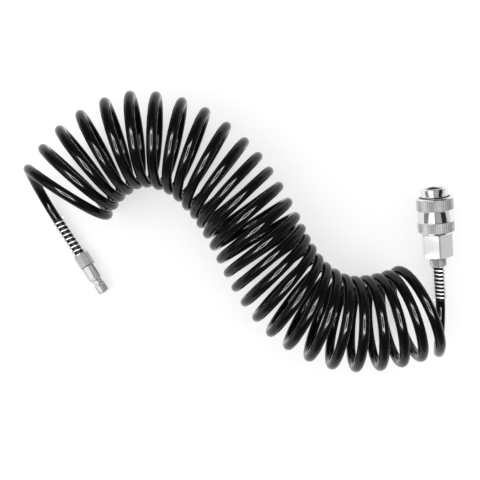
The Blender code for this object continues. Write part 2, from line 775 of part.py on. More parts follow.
def make_socket(parent):
    socket_cage(parent)
    for i in range(BALL_COUNT):
        locking_ball(i, parent)
    locking_sleeve(parent)
    washer(
        "sleeve_snap_ring",
        RING_START,
        RING_THICKNESS,
        RING_OUTER_RADIUS,
        RING_INNER_RADIUS,
        SPRING_STEEL,
        parent,
        TURNED_STEPS,
    )
    inner_spring(
        "sleeve_spring",
        SLEEVE_SPRING_WIRE,
        POCKET_RADIUS - TOUCH_GAP - SLEEVE_SPRING_WIRE / 2,
        LAND_END,
        BODY_SHOULDER_START,
        SLEEVE_SPRING_CURLS,
        parent,
    )
    washer(
        "plug_packing_ring",
        PACKING_START + TOUCH_GAP,
        PACKING_LENGTH,
        PACKING_RADIUS - TOUCH_GAP,
        PLUG_NOSE_RADIUS + PACKING_SLACK / 2,
        SEAL_RUBBER,
        parent,
    )
    washer(
        "body_gasket",
        CAGE_END + TOUCH_GAP,
        GASKET_THICKNESS,
        CAGE_STUB_RADIUS,
        VALVE_BORE_RADIUS,
        SEAL_RUBBER,
        parent,
    )
    valve_poppet(parent)
    washer(
        "poppet_seal",
        SEAT_LIP_END + TOUCH_GAP,
        SEAL_THICKNESS,
        HEAD_RADIUS,
        STEM_RADIUS + TOUCH_GAP,
        SEAL_RUBBER,
        parent,
    )
    inner_spring(
        "valve_spring",
        VALVE_SPRING_WIRE,
        HEAD_RADIUS - VALVE_SPRING_SLACK - VALVE_SPRING_WIRE / 2,
        HEAD_END,
        SPRING_SEAT_START,
        VALVE_SPRING_CURLS,
        parent,
    )
    washer(
        "valve_spring_seat",
        SPRING_SEAT_START,
        SPRING_SEAT_THICKNESS,
        HEAD_RADIUS,
        SPRING_SEAT_HOLE / 2,
        BRASS,
        parent,
    )
    socket_body(parent)
    hose_nut("socket_hose_nut", SOCKET_NUT_DIAMETER, SOCKET_NUT_LENGTH, SOCKET_SHOULDER, parent)
    spring_guard(
        "socket_spring_guard",
        SOCKET_SHOULDER,
        SOCKET_NUT_LENGTH,
        SOCKET_GUARD_CURLS,
        SOCKET_GUARD_PITCH,
        parent,
    )


# ---------------------------------------------------------------- the hose


def floor_cutter(route):
    """A slab under the floor, which cuts each turn flat where it stands."""
    side = 2 * max(max(abs(point.x), abs(point.y)) for point in route) + COIL_DIAMETER
    mesh = bpy.data.meshes.new("floor_cutter")
    shape = bmesh.new()
    bmesh.ops.create_cube(shape, size=1.0)
    bmesh.ops.scale(shape, verts=shape.verts, vec=(side, side, COIL_DIAMETER))
    bmesh.ops.translate(shape, verts=shape.verts, vec=(0, 0, -COIL_DIAMETER / 2))
    shape.to_mesh(mesh)
    shape.free()
    return hide_cutter(add_object("floor_cutter", mesh, None, None, CUTTERS))


def make_hose(plug_axis, socket_axis, plug_length, socket_length):
    route = hose_route(plug_axis, socket_axis, plug_length, socket_length)
    print_gap("hose", route, HOSE_DIAMETER, COIL_DIAMETER)
    hose = tube("hose", route, HOSE_RADIUS, HOSE_BLACK)
    cut(hose, floor_cutter(route))
    for name, axis, shoulder in (
        ("plug_barb_bore", plug_axis, PLUG_SHOULDER),
        ("socket_barb_bore", socket_axis, SOCKET_SHOULDER),
    ):
        start = shoulder + STUB_LENGTH
        end = start + BARB_LENGTH + 2 * TOUCH_GAP
        cut(hose, round_cutter(name, HOSE_BORE / 2, start, end, axis))
    return hose


def main():
    plug_length = guard_end(PLUG_SHOULDER, PLUG_NUT_LENGTH, PLUG_GUARD_CURLS, PLUG_GUARD_PITCH)
    socket_length = guard_end(
        SOCKET_SHOULDER, SOCKET_NUT_LENGTH, SOCKET_GUARD_CURLS, SOCKET_GUARD_PITCH
    )
    plug_height = max(PLUG_BODY_DIAMETER, PLUG_NUT_DIAMETER) / 2
    socket_height = GUARD_OUTER_RADIUS / math.cos(math.radians(SOCKET_TILT))
    plug_axis = axis_empty(
        "plug_axis", PLUG_ENTRY, plug_height, PLUG_HEADING, PLUG_TILT, plug_length
    )
    socket_axis = axis_empty(
        "socket_axis", SOCKET_ENTRY, socket_height, SOCKET_HEADING, SOCKET_TILT, socket_length
    )
    make_plug(plug_axis)
    make_socket(socket_axis)
    make_hose(plug_axis, socket_axis, plug_length, socket_length)


main()
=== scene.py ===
"""Dresses a coiled air hose: the coiled tube, its guards and nuts, a quick plug and a quick socket.

Sizes are in metres. Outlines of turned pieces are in millimetres: how far each point lies
behind the coupling's mouth, and its radius.
"""

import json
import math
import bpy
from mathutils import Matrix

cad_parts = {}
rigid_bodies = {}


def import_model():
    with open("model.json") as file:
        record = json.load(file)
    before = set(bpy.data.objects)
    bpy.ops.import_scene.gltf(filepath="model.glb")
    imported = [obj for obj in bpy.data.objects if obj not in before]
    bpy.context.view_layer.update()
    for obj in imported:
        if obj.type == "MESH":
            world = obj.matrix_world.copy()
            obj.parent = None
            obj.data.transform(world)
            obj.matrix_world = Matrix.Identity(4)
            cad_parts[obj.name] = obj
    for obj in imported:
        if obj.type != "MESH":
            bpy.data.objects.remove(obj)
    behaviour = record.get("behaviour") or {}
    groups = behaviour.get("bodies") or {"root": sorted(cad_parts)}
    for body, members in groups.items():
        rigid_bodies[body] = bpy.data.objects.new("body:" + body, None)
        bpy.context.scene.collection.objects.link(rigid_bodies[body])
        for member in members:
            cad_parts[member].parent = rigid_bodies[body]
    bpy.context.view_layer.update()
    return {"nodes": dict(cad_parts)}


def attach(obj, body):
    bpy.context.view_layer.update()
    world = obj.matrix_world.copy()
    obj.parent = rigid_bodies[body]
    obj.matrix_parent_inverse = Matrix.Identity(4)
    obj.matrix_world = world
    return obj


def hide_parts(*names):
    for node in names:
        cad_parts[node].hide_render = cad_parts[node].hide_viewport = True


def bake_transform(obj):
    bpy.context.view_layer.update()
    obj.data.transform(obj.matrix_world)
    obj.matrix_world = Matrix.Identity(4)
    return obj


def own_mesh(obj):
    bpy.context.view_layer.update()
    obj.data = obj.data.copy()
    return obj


bl_info = {
    "name": "Coiled Air Hose",
    "version": (1, 0, 0),
    "blender": (4, 5, 0),
    "location": "3D View > Sidebar > Air Hose",
    "description": "Builds a coiled air hose with a quick plug and a quick socket",
    "category": "Object",
}

import bpy
import numpy as np
from bpy.props import FloatProperty, FloatVectorProperty, IntProperty, PointerProperty
from bpy.types import Operator, Panel, PropertyGroup
from mathutils import Matrix, Vector
from mathutils.geometry import interpolate_bezier

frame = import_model()

MM = 0.001
CLEARANCE = 0.0003  # between pieces that touch
MERGE = 0.00001  # distance within which two points are one

# ---------------------------------------------------------------- sizes and colours


def length(name, description, default):
    return FloatProperty(
        name=name, description=description, default=default, min=0.0, unit="LENGTH", precision=5
    )


def colour(name, description, default):
    return FloatVectorProperty(
        name=name, description=description, default=default, min=0.0, max=1.0, subtype="COLOR"
    )


class HoseSizes(PropertyGroup):
    diameter: length("Diameter", "Outer diameter of the tube", 0.008)
    coil_diameter: length("Coil diameter", "Coil diameter between tube centres", 0.0716)
    turns: FloatProperty(name="Turns", description="Turns of the coil", default=27.5, min=1.0)
    rings_per_turn: IntProperty(
        name="Rings per turn", description="Cross-sections in one turn", default=40, min=16
    )
    sides: IntProperty(
        name="Sides", description="Sides of the tube's cross-section", default=20, min=8
    )
    flat_depth: length("Flat", "Depth of the flat where a turn stands on the floor", 0.0008)


class GuardSizes(PropertyGroup):
    wire: length("Wire", "Diameter of the guard's wire", 0.0015)
    radius: length("Radius", "Coil radius to the wire's centre", 0.00535)
    curls: IntProperty(name="Curls", description="Curls of a guard", default=9, min=2)
    plug_pitch: length("Plug pitch", "Pitch of the plug's guard", 0.0042)
    socket_pitch: length("Socket pitch", "Pitch of the socket's guard", 0.0036)


class KnurlSizes(PropertyGroup):
    sleeve_count: IntProperty(
        name="Sleeve count", description="Diamonds round the sleeve", default=52, min=12
    )
    nut_count: IntProperty(
        name="Nut count", description="Diamonds round the socket's nut", default=38, min=12
    )
    flute_count: IntProperty(
        name="Flutes", description="Straight flutes round the plug's nut", default=44, min=12
    )
    depth: length("Depth", "Depth of the diamonds", 0.00040)


class FinishColours(PropertyGroup):
    hose: colour("Hose", "Polyurethane of the hose", (0.0035, 0.0035, 0.0046))
    nickel: colour("Nickel", "Polished nickel plate", (0.80, 0.80, 0.81))
    # The knurls' two tones are painted light and shade: paler on the peaks, painted shade in the
    # valleys.
    lit_peak_nickel: colour("Knurled nickel", "Plate on knurled bands", (0.98, 0.98, 0.99))
    valley_shade: colour("Valleys", "Plate in the valleys of knurls", (0.38, 0.38, 0.39))
    wire: colour("Wire", "Bright spring wire", (0.88, 0.88, 0.89))
    # Dark steel on the snap ring, and painted shade in the socket's bore.
    dark_steel_and_bore_shade: colour("Oiled steel", "Bare steel, dark with oil", (0.050, 0.050, 0.052))
    brass: colour("Brass", "Turned brass", (0.72, 0.52, 0.22))
    rubber: colour("Rubber", "Seals", (0.020, 0.020, 0.020))
    floor: colour("Floor", "Studio floor", (0.56, 0.56, 0.56))


# ---------------------------------------------------------------- where the couplings lie

# The coil's axis: x, y, and the direction in degrees in which a turn leaves it
COIL_STATIONS = (
    (-0.147, 0.030, 145),
    (-0.124, 0.059, 122),
    (-0.090, 0.076, 96),
    (-0.052, 0.069, 73),
    (-0.022, 0.046, 52),
    (-0.003, 0.021, 40),
    (0.013, -0.008, 35),
    (0.027, -0.034, 43),
    (0.048, -0.059, 57),
    (0.080, -0.075, 77),
    (0.116, -0.074, 97),
    (0.146, -0.064, 110),
)
PLUG_LEAD_SHARE = 0.08
SOCKET_LEAD_SHARE = 0.10
PLUG_LEAD_REACH = (0.026, 0.030)
SOCKET_LEAD_REACH = (0.046, 0.026)
LEAD_RINGS = 40
STRAIGHT_STEPS = 5

PLUG_SHOULDER = 0.0276
PLUG_GUARD_START = 0.03945
PLUG_GUARD_END = 0.0783
SOCKET_SHOULDER = 0.0600
SOCKET_GUARD_START = 0.06855
SOCKET_GUARD_END = 0.1020
STUB_LENGTH = 0.0040


def coupling_axis(entry, height, heading, tilt, reach):
    """A matrix whose +Z points out of a coupling's mouth, and whose +Y points up."""
    turn, rise = math.radians(heading), math.radians(tilt)
    way = Vector(
        (math.cos(rise) * math.cos(turn), math.cos(rise) * math.sin(turn), math.sin(rise))
    )
    mouth = Vector((*entry, height)) + way * reach
    return Matrix.Translation(mouth) @ way.to_track_quat("Z", "Y").to_matrix().to_4x4()


PLUG_AXIS = coupling_axis((-0.168, 0.0115), 0.0071, -56.5, 0.0, PLUG_GUARD_END)
SOCKET_AXIS = coupling_axis(
    (0.177, -0.061), 0.0061 / math.cos(math.radians(12.5)), 98.5, 12.5, SOCKET_GUARD_END
)


def behind(axis, distance):
    """The point on a coupling's axis at a distance behind its mouth."""
    return axis @ Vector((0, 0, -distance))


# ---------------------------------------------------------------- modelling helpers


def start_fresh():
    if bpy.context.mode != "OBJECT":
        bpy.ops.object.mode_set(mode="OBJECT")
    bpy.ops.object.select_all(action="DESELECT")


def finish_piece(piece, axis, material, sharp=32):
    """Shades a piece, brings it onto a coupling's axis and leaves its place in its mesh.
    Edges steeper than the sharp angle, in degrees, stay sharp."""
    start_fresh()
    bpy.context.view_layer.objects.active = piece
    piece.select_set(True)
    piece.matrix_world = axis @ piece.matrix_world
    bpy.ops.object.transform_apply(location=True, rotation=True, scale=True)
    bpy.ops.object.shade_smooth_by_angle(angle=math.radians(sharp))
    piece.data.materials.clear()
    piece.data.materials.append(material)
    return piece


def tidy_mesh():
    """In edit mode: merges doubles and turns every face outwards."""
    bpy.ops.mesh.select_all(action="SELECT")
    bpy.ops.mesh.remove_doubles(threshold=MERGE)
    bpy.ops.mesh.normals_make_consistent(inside=False)


def turn_ring(name, outline, steps, closed=True):
    """Extrudes a ring along an outline, as on a lathe. The piece lies along Z, mouth at the
    origin. An outline that isn't closed starts and ends with a disc."""
    start_fresh()
    place, radius = outline[0]
    bpy.ops.mesh.primitive_circle_add(
        vertices=steps, radius=radius * MM, fill_type="NOTHING", location=(0, 0, 0)
    )
    piece = bpy.context.object
    piece.name = name
    bpy.ops.object.mode_set(mode="EDIT")
    bpy.ops.mesh.select_all(action="SELECT")
    bpy.ops.transform.translate(value=(0, 0, -place * MM))
    if not closed:
        bpy.ops.mesh.edge_face_add()
    points = [*outline[1:], outline[0]] if closed else outline[1:]
    for next_place, next_radius in points:
        bpy.ops.mesh.extrude_region_move(TRANSFORM_OT_translate={"value": (0, 0, 0)})
        bpy.ops.transform.translate(value=(0, 0, (place - next_place) * MM))
        share = next_radius / radius
        bpy.ops.transform.resize(value=(share, share, 1), center_override=(0, 0, 0))
        place, radius = next_place, next_radius
    tidy_mesh()
    bpy.ops.object.mode_set(mode="OBJECT")
    return piece


def soften_edges(piece, width, segments=2, angle=28):
    """A small bevel on every edge of a piece, as plated parts have."""
    bevel = piece.modifiers.new("edge_break", "BEVEL")
    bevel.width = width * MM
    bevel.segments = segments
    bevel.limit_method = "ANGLE"
    bevel.angle_limit = math.radians(angle)
    bpy.context.view_layer.objects.active = piece
    bpy.ops.object.modifier_apply(modifier=bevel.name)


def turned(name, outline, axis, material, steps, edge, closed=True):
    piece = turn_ring(name, outline, steps, closed)
    soften_edges(piece, edge)
    return finish_piece(piece, axis, material)


def cut_with(piece, cutters, operation="DIFFERENCE"):
    for cutter in cutters:
        boolean = piece.modifiers.new("cut", "BOOLEAN")
        boolean.operation = operation
        boolean.solver = "EXACT"
        boolean.object = cutter
        bpy.context.view_layer.objects.active = piece
        bpy.ops.object.modifier_apply(modifier=boolean.name)
        bpy.data.objects.remove(cutter)


WIRE_SIDES = 14
WIRE_STEPS = 36  # in one curl


def wound_wire(name, radius, wire, start, end, curls, axis, material):
    """A spring: a ring of wire turned about the Z axis by a Screw modifier, with its ends filled."""
    start_fresh()
    bpy.ops.mesh.primitive_circle_add(
        vertices=WIRE_SIDES,
        radius=wire / 2,
        fill_type="NOTHING",
        location=(radius, 0, -start),
        rotation=(math.pi / 2, 0, 0),
    )
    spring = bpy.context.object
    spring.name = name
    bpy.ops.object.transform_apply(location=True, rotation=True, scale=True)
    screw = spring.modifiers.new("winding", "SCREW")
    screw.axis = "Z"
    screw.steps = WIRE_STEPS
    screw.render_steps = WIRE_STEPS
    screw.iterations = curls
    screw.screw_offset = -(end - start) / curls
    screw.use_merge_vertices = False
    bpy.ops.object.modifier_apply(modifier=screw.name)
    bpy.ops.object.mode_set(mode="EDIT")
    bpy.ops.mesh.select_all(action="SELECT")
    bpy.ops.mesh.fill_holes(sides=0)
    tidy_mesh()
    bpy.ops.object.mode_set(mode="OBJECT")
    return finish_piece(spring, axis, material, 50)


def knurled_band(name, radius, start, finish, count, rows, depth, axis, material, inner):
    """A ring of diamonds: one diamond is modelled, repeated down the band and then round it."""
    start_fresh()
    half = math.pi / count
    wide = radius * math.sin(half)
    high = (finish - start) / rows
    middle = -(start + high / 2)

    def lies_at(*spots):
        """A rule that picks points of the patch by their spot: 0 is its middle and 1 its edge."""
        return lambda p: (round(p.y / wide), abs(round((p.z - middle) / (high / 2)))) in spots

    bpy.ops.mesh.primitive_grid_add(
        x_subdivisions=2,
        y_subdivisions=2,
        size=1,
        location=(0, 0, 0),
        rotation=(0, math.pi / 2, 0),
    )
    band = bpy.context.object
    band.name = name
    bpy.ops.object.transform_apply(location=False, rotation=True, scale=True)
    bpy.ops.object.mode_set(mode="EDIT")
    bpy.ops.mesh.select_all(action="SELECT")
    bpy.ops.transform.resize(value=(1, 2 * wide, high), center_override=(0, 0, 0))
    bpy.ops.transform.translate(value=(radius * math.cos(half), 0, middle))
    select_points(band, lies_at((0, 0), (-1, 1), (1, 1)))
    bpy.ops.mesh.vert_connect()
    for side in (-1, 1):
        select_points(band, lies_at((side, 0)))
        bpy.ops.transform.translate(
            value=(depth * math.cos(half), side * depth * math.sin(half), 0)
        )
    select_points(band, lies_at((0, 1)))
    bpy.ops.transform.translate(value=(depth, 0, 0))
    bpy.ops.object.mode_set(mode="OBJECT")
    repeat(band, rows, offset=(0, 0, -high))
    turner = bpy.data.objects.new(name + "_turn", None)
    bpy.context.scene.collection.objects.link(turner)
    turner.rotation_euler.z = 2 * half
    repeat(band, count, turner=turner)
    bpy.data.objects.remove(turner)
    bpy.ops.object.mode_set(mode="EDIT")
    bpy.ops.mesh.select_all(action="SELECT")
    bpy.ops.mesh.remove_doubles(threshold=2 * MERGE)
    bpy.ops.mesh.select_all(action="DESELECT")
    bpy.ops.mesh.select_mode(type="EDGE")
    bpy.ops.mesh.select_non_manifold()
    bpy.ops.mesh.extrude_region_move(TRANSFORM_OT_translate={"value": (0, 0, 0)})
    share = inner / radius
    bpy.ops.transform.resize(value=(share, share, 1), center_override=(0, 0, 0))
    bpy.ops.mesh.bridge_edge_loops()
    tidy_mesh()
    bpy.ops.mesh.select_mode(type="VERT")
    bpy.ops.object.mode_set(mode="OBJECT")
    return finish_piece(band, axis, material, 12)


def select_points(piece, wanted):
    """In edit mode: selects the vertices that a rule picks, and nothing else."""
    bpy.ops.mesh.select_all(action="DESELECT")
    bpy.ops.object.mode_set(mode="OBJECT")
    for vertex in piece.data.vertices:
        vertex.select = bool(wanted(vertex.co))
    bpy.ops.object.mode_set(mode="EDIT")


def repeat(piece, count, offset=None, turner=None):
    array = piece.modifiers.new("repeat", "ARRAY")
    array.count = count
    array.use_relative_offset = False
    array.use_merge_vertices = True
    array.merge_threshold = MERGE
    if turner is None:
        array.use_constant_offset = True
        array.constant_offset_displace = offset
    else:
        array.use_object_offset = True
        array.offset_object = turner
    bpy.context.view_layer.objects.active = piece
    bpy.ops.object.modifier_apply(modifier=array.name)


# ---------------------------------------------------------------- materials


class Recipe:
    """A material's node tree, built a node at a time round its Principled shader."""

    def __init__(self, name, base, roughness, metallic):
        self.material = bpy.data.materials.new(name)
        self.material.use_nodes = True
        self.tree = self.material.node_tree
        self.shader = self.tree.nodes["Principled BSDF"]
        self.shader.inputs["Base Color"].default_value = (*base, 1.0)
        self.shader.inputs["Roughness"].default_value = roughness
        self.shader.inputs["Metallic"].default_value = metallic
        self.material.diffuse_color = (*base, 1.0)

    def add(self, kind, links=None, **settings):
        node = self.tree.nodes.new(kind)
        for key, value in settings.items():
            if key in node.inputs:
                node.inputs[key].default_value = value
            else:
                setattr(node, key, value)
        for key, source in (links or {}).items():
            self.tree.links.new(source, node.inputs[key])
        return node

    def object_place(self, axis=None):
        """Object coordinates, or a coupling's own, whose Z runs along its axis."""
        place = self.add("ShaderNodeTexCoord").outputs["Object"]
        if axis is None:
            return place
        mapping = self.add(
            "ShaderNodeMapping", {"Vector": place}, vector_type="TEXTURE",
            Location=axis.translation, Rotation=axis.to_euler(),
        )
        return mapping.outputs["Vector"]

    def stretched(self, place, scale):
        node = self.add("ShaderNodeMapping", {"Vector": place}, Scale=scale)
        return node.outputs["Vector"]

    def noise(self, place, scale, detail=3.0):
        node = self.add("ShaderNodeTexNoise", {"Vector": place}, Detail=detail, Scale=scale)
        return node.outputs["Fac"]

    def between(self, value, low, high, from_low=0.3, from_high=0.7):
        """Spreads a value over a new range. The old one is a noise's usual range if not given."""
        node = self.add("ShaderNodeMapRange", {"Value": value})
        for key, number in zip(
            ("From Min", "From Max", "To Min", "To Max"), (from_low, from_high, low, high)
        ):
            node.inputs[key].default_value = number
        return node.outputs["Result"]

    def set(self, socket, source):
        self.tree.links.new(source, self.shader.inputs[socket])

    def bump(self, height, depth, strength):
        node = self.add("ShaderNodeBump", {"Height": height}, Distance=depth, Strength=strength)
        self.set("Normal", node.outputs["Normal"])

    def mix_colour(self, factor, first, second):
        node = self.add("ShaderNodeMix", {"Factor": factor}, data_type="RGBA")
        node.inputs[6].default_value = (*first, 1.0)
        node.inputs[7].default_value = (*second, 1.0)
        return node.outputs[2]


def scaled(tone, share):
    return tuple(share * part for part in tone)


def hose_finish(name="hose_polyurethane", dull=0.0):
    """Glossy polyurethane: fine draw lines along the tube, and patches that are a little duller."""
    colours = bpy.context.scene.air_hose_colours
    recipe = Recipe(name, colours.hose, 0.14 + dull, 0.0)
    recipe.shader.inputs["IOR"].default_value = 1.50
    recipe.shader.inputs["Specular IOR Level"].default_value = 0.20
    place = recipe.object_place()
    uv = recipe.add("ShaderNodeUVMap", uv_map="tube").outputs["UV"]
    handled = recipe.noise(place, 55.0, 4.0)
    recipe.set("Roughness", recipe.between(handled, 0.09 + dull, 0.20 + dull))
    shade = recipe.between(recipe.noise(place, 24.0), 0.0, 1.0)
    recipe.set("Base Color", recipe.mix_colour(shade, colours.hose, scaled(colours.hose, 1.7)))
    lines = recipe.noise(recipe.stretched(uv, (34.0, 3.0, 1.0)), 1.0, 2.0)
    recipe.bump(lines, 0.00002, 0.25)
    return recipe.material


def nickel_finish(name, axis, dull=0.0):
    """Polished plate with the faint rings that turning left under it."""
    colours = bpy.context.scene.air_hose_colours
    recipe = Recipe(name, colours.nickel, 0.10, 1.0)
    place = recipe.object_place(axis)
    smears = recipe.noise(place, 140.0, 4.0)
    recipe.set("Roughness", recipe.between(smears, 0.07 + dull, 0.15 + dull))
    rings = recipe.noise(recipe.stretched(place, (12.0, 12.0, 5200.0)), 1.0, 2.0)
    recipe.bump(rings, 0.000006, 0.5)
    return recipe.material


def knurl_finish(name, axis, peak, depth, shade=1.0):
    """Plate on diamonds or flutes, lit and shaded by height: paler on the peaks and painted shade in
    the valleys. A shade share below one darkens both tones as painted shade.
    """
    colours = bpy.context.scene.air_hose_colours
    recipe = Recipe(name, colours.lit_peak_nickel, 0.30, 0.75)
    place = recipe.object_place(axis)
    flat = recipe.stretched(place, (1.0, 1.0, 0.0))
    radius = recipe.add("ShaderNodeVectorMath", {0: flat}, operation="LENGTH").outputs["Value"]
    # Painted shade: darker towards the valleys, paler on the peaks.
    height = recipe.between(radius, 0.0, 1.0, peak - depth, peak)
    low, high = scaled(colours.valley_shade, shade), scaled(colours.lit_peak_nickel, shade)
    recipe.set("Base Color", recipe.mix_colour(height, low, high))
    recipe.set("Roughness", recipe.between(recipe.noise(place, 420.0, 4.0), 0.20, 0.36))
    recipe.bump(recipe.noise(place, 2600.0, 2.0), 0.00001, 0.4)
    return recipe.material


def dark_steel_and_bore_shade_finish():
    """Dark bare steel on the snap ring, also used as painted shade on the faces in the socket's bore.
    """
    colours = bpy.context.scene.air_hose_colours
    recipe = Recipe("dark_steel_bore_shade", colours.dark_steel_and_bore_shade, 0.42, 1.0)
    place = recipe.object_place()
    recipe.set("Roughness", recipe.between(recipe.noise(place, 500.0, 4.0), 0.34, 0.52))
    film = recipe.between(recipe.noise(place, 260.0), 0.0, 1.0)
    recipe.set("Base Color", recipe.mix_colour(film, colours.dark_steel_and_bore_shade, scaled(colours.dark_steel_and_bore_shade, 1.6)))
    return recipe.material


def paint_faces(piece, axis, material, wanted):
    """Gives a material to the faces that a rule picks by two distances in millimetres: from a
    coupling's axis, and behind its mouth."""
    piece.data.materials.append(material)
    back = axis.inverted()
    for face in piece.data.polygons:
        centre = back @ face.center
        if wanted(math.hypot(centre.x, centre.y) / MM, -centre.z / MM):
            face.material_index = len(piece.data.materials) - 1


def wire_finish():
    colours = bpy.context.scene.air_hose_colours
    recipe = Recipe("bright_wire", colours.wire, 0.16, 1.0)
    place = recipe.object_place()
    recipe.set("Roughness", recipe.between(recipe.noise(place, 900.0, 3.0), 0.12, 0.24))
    recipe.bump(recipe.noise(place, 3200.0, 2.0), 0.000006, 0.4)
    return recipe.material


def brass_finish(axis):
    colours = bpy.context.scene.air_hose_colours
    recipe = Recipe("turned_brass", colours.brass, 0.28, 1.0)
    place = recipe.object_place(axis)
    stain = recipe.between(recipe.noise(place, 260.0, 4.0), 0.0, 1.0)
    recipe.set("Base Color", recipe.mix_colour(stain, scaled(colours.brass, 0.72), colours.brass))
    recipe.set("Roughness", recipe.between(recipe.noise(place, 700.0), 0.22, 0.36))
    rings = recipe.noise(recipe.stretched(place, (12.0, 12.0, 4000.0)), 1.0, 2.0)
    recipe.bump(rings, 0.00001, 0.6)
    return recipe.material


def rubber_finish():
    colours = bpy.context.scene.air_hose_colours
    recipe = Recipe("seal_rubber", colours.rubber, 0.6, 0.0)
    place = recipe.object_place()
    recipe.set("Roughness", recipe.between(recipe.noise(place, 600.0, 4.0), 0.48, 0.70))
    bloom = recipe.between(recipe.noise(place, 300.0), 0.0, 1.0)
    recipe.set("Base Color", recipe.mix_colour(bloom, colours.rubber, scaled(colours.rubber, 1.8)))
    recipe.bump(recipe.noise(place, 2500.0, 3.0), 0.00002, 0.4)
    return recipe.material


# ---------------------------------------------------------------- the hose's route


def station_slopes(stations):
    slopes = [(b - a) / 2 for a, b in zip(stations, stations[2:])]
    first = (stations[1] - stations[0]) * 1.5 - slopes[0] / 2
    last = (stations[-1] - stations[-2]) * 1.5 - slopes[-1] / 2
    return [first, *slopes, last]


STATIONS = [Vector(station) for station in COIL_STATIONS]
SLOPES = station_slopes(STATIONS)


def coil_axis(turn, turns):
    """x, y and leaving direction of the coil's axis, smooth through the stations."""
    place = turn / turns * (len(STATIONS) - 1)
    i = min(max(int(place), 0), len(STATIONS) - 2)
    u = place - i
    return (
        STATIONS[i] * (2 * u**3 - 3 * u**2 + 1)
        + SLOPES[i] * (u**3 - 2 * u**2 + u)
        + STATIONS[i + 1] * (3 * u**2 - 2 * u**3)
        + SLOPES[i + 1] * (u**3 - u**2)
    )


def coil_point(turn, sizes):
    x, y, leaving = coil_axis(turn, sizes.turns)
    radius = sizes.coil_diameter / 2
    across = radius * math.cos(2 * math.pi * turn)
    rise = radius * math.sin(2 * math.pi * turn)
    angle = math.radians(leaving)
    height = radius + sizes.diameter / 2 - sizes.flat_depth
    return Vector((x + across * math.cos(angle), y + across * math.sin(angle), height + rise))


def coil_direction(turn, sizes):
    step = 0.001
    return (coil_point(turn + step, sizes) - coil_point(turn - step, sizes)).normalized()


def straight(start, end):
    return [start.lerp(end, i / STRAIGHT_STEPS) for i in range(STRAIGHT_STEPS + 1)]


def hose_route(sizes):
    """The hose's centre line, and the points of it at which the coil starts and ends."""
    plug_end = behind(PLUG_AXIS, PLUG_SHOULDER + STUB_LENGTH + CLEARANCE)
    plug_mouth = behind(PLUG_AXIS, PLUG_GUARD_END)
    plug_way = (plug_mouth - plug_end).normalized()
    socket_end = behind(SOCKET_AXIS, SOCKET_SHOULDER + STUB_LENGTH + CLEARANCE)
    socket_mouth = behind(SOCKET_AXIS, SOCKET_GUARD_END)
    socket_way = (socket_end - socket_mouth).normalized()
    first_turn = PLUG_LEAD_SHARE
    last_turn = sizes.turns - SOCKET_LEAD_SHARE
    count = round((last_turn - first_turn) * sizes.rings_per_turn)
    step = (last_turn - first_turn) / count
    coil = [coil_point(first_turn + step * i, sizes) for i in range(count + 1)]
    first_lead = interpolate_bezier(
        plug_mouth,
        plug_mouth + plug_way * PLUG_LEAD_REACH[0],
        coil[0] - coil_direction(first_turn, sizes) * PLUG_LEAD_REACH[1],
        coil[0],
        LEAD_RINGS,
    )
    last_lead = interpolate_bezier(
        coil[-1],
        coil[-1] + coil_direction(last_turn, sizes) * SOCKET_LEAD_REACH[0],
        socket_mouth - socket_way * SOCKET_LEAD_REACH[1],
        socket_mouth,
        LEAD_RINGS,
    )
    before = [*straight(plug_end, plug_mouth)[:-1], *first_lead[:-1]]
    after = [*last_lead[1:-1], *straight(socket_mouth, socket_end)]
    return [*before, *coil, *after], len(before), len(before) + len(coil) - 1


def tube_along(name, route, radius, sides):
    """A closed tube with a ring of points round each point of a route, and a UV map that
    runs along it: across is once round the tube, and up is its length in turns of its girth."""
    ways = [
        (route[min(i + 1, len(route) - 1)] - route[max(i - 1, 0)]).normalized()
        for i in range(len(route))
    ]
    side = ways[0].orthogonal().normalized()
    points, run = [], [0.0]
    for i, (centre, way) in enumerate(zip(route, ways)):
        side = (side - way * side.dot(way)).normalized()
        other = way.cross(side)
        for j in range(sides):
            angle = 2 * math.pi * j / sides
            point = centre + (side * math.cos(angle) + other * math.sin(angle)) * radius
            points.append((point.x, point.y, max(point.z, 0.0)))
        if i:
            run.append(run[-1] + (centre - route[i - 1]).length)
    faces, corners = [], []
    girth = 2 * math.pi * radius
    for i in range(len(route) - 1):
        for j in range(sides):
            k = (j + 1) % sides
            faces.append((i * sides + j, i * sides + k, (i + 1) * sides + k, (i + 1) * sides + j))
            low, high = run[i] / girth, run[i + 1] / girth
            left, right = j / sides, (j + 1) / sides
            corners += [(left, low), (right, low), (right, high), (left, high)]
    last = (len(route) - 1) * sides
    for cap in (list(range(sides))[::-1], [last + j for j in range(sides)]):
        faces.append(cap)
        corners += [(0.5, 0.5)] * sides
    mesh = bpy.data.meshes.new(name)
    mesh.from_pydata(points, [], faces)
    mesh.uv_layers.new(name="tube").data.foreach_set("uv", np.array(corners, np.float32).ravel())
    mesh.update()
    tube = bpy.data.objects.new(name, mesh)
    bpy.context.scene.collection.objects.link(tube)
    return tube, run


# ---------------------------------------------------------------- operators


RUBBED = 0.34  # by which the hose is rougher under its guards
UNDER_GUARD = 5.0  # mm from a coupling's axis, within which the hose is under its guard


class AIRHOSE_OT_hose(Operator):
    """Build the coiled tube between the two couplings"""

    bl_idname = "air_hose.hose"
    bl_label = "Coiled Tube"

    def execute(self, context):
        sizes = context.scene.air_hose_tube
        route, first, last = hose_route(sizes)
        hose, run = tube_along("coiled_tube", route, sizes.diameter / 2, sizes.sides)
        finish_piece(hose, Matrix.Identity(4), hose_finish(), 60)
        rubbed = hose_finish("hose_rubbed_dull", RUBBED)
        for axis, end in ((PLUG_AXIS, PLUG_GUARD_END), (SOCKET_AXIS, SOCKET_GUARD_END)):
            paint_faces(
                hose, axis, rubbed,
                lambda away, place, limit=end / MM: away < UNDER_GUARD and 0 < place < limit,
            )
        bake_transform(hose)
        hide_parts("hose")
        return {"FINISHED"}


